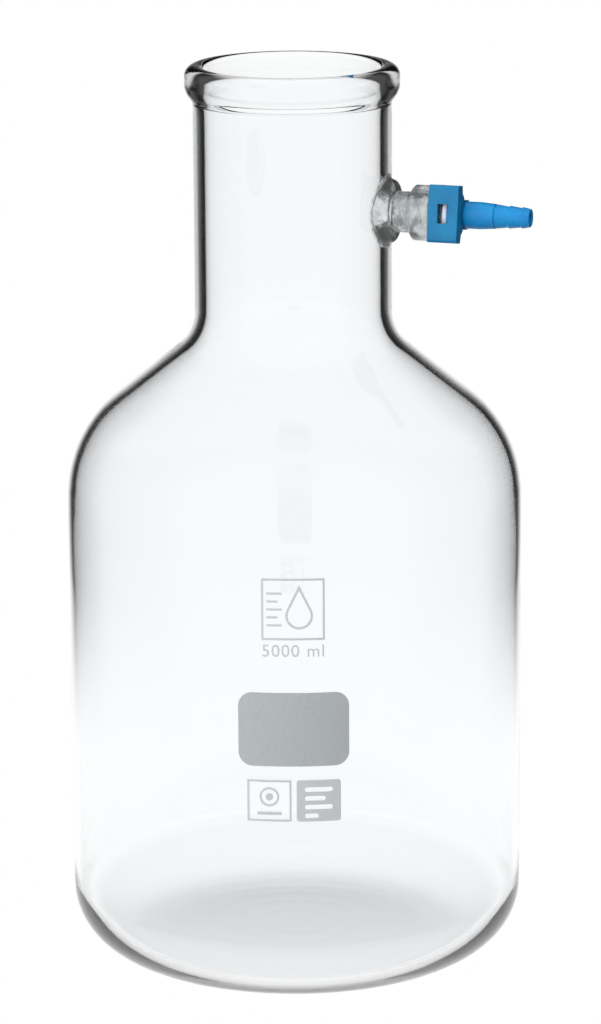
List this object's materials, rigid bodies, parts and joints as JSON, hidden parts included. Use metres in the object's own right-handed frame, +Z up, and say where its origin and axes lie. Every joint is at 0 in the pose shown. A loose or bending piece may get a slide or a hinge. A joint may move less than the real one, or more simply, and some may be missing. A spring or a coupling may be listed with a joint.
{
  "type": "filtering flask",
  "caption": "Bottle-shaped glass vacuum filtering flask with a beaded rim and a side socket that carries a clipped, detachable hose nozzle.",
  "frame": {"origin": "centre of the base, in the plane that the resting ring stands on, on the flask's axis", "axes": "+Z up the flask's axis to the mouth, +X along the side socket towards the hose nozzle's tip"},
  "size_m": [0.1913, 0.185, 0.366],
  "materials": {
    "clear_glass": "polished",
    "seal_rubber": "matte",
    "connector_plastic": "satin",
    "clip_plastic": "satin",
    "enamel": "matte"
  },
  "bodies": {
    "flask": {"flask_body": "clear_glass", "side_socket": "clear_glass", "writing_panel": "enamel", "capacity_mark": "enamel", "spec_marks": "enamel"},
    "connector": {"hose_connector": "connector_plastic", "sealing_ring": "seal_rubber"},
    "clip": {"retaining_clip": "clip_plastic"}
  },
  "joints": [
    {"name": "connector_swivel", "type": "hinge", "parent": "flask", "child": "connector", "pos_m": [0.0646, 0, 0.3089], "axis": [1, 0, 0], "continuous": true},
    {"name": "clip_pull", "type": "slide", "parent": "connector", "child": "clip", "axis": [0, -0.9848, 0.1736], "range_m": [0, 0.03]}
  ]
}
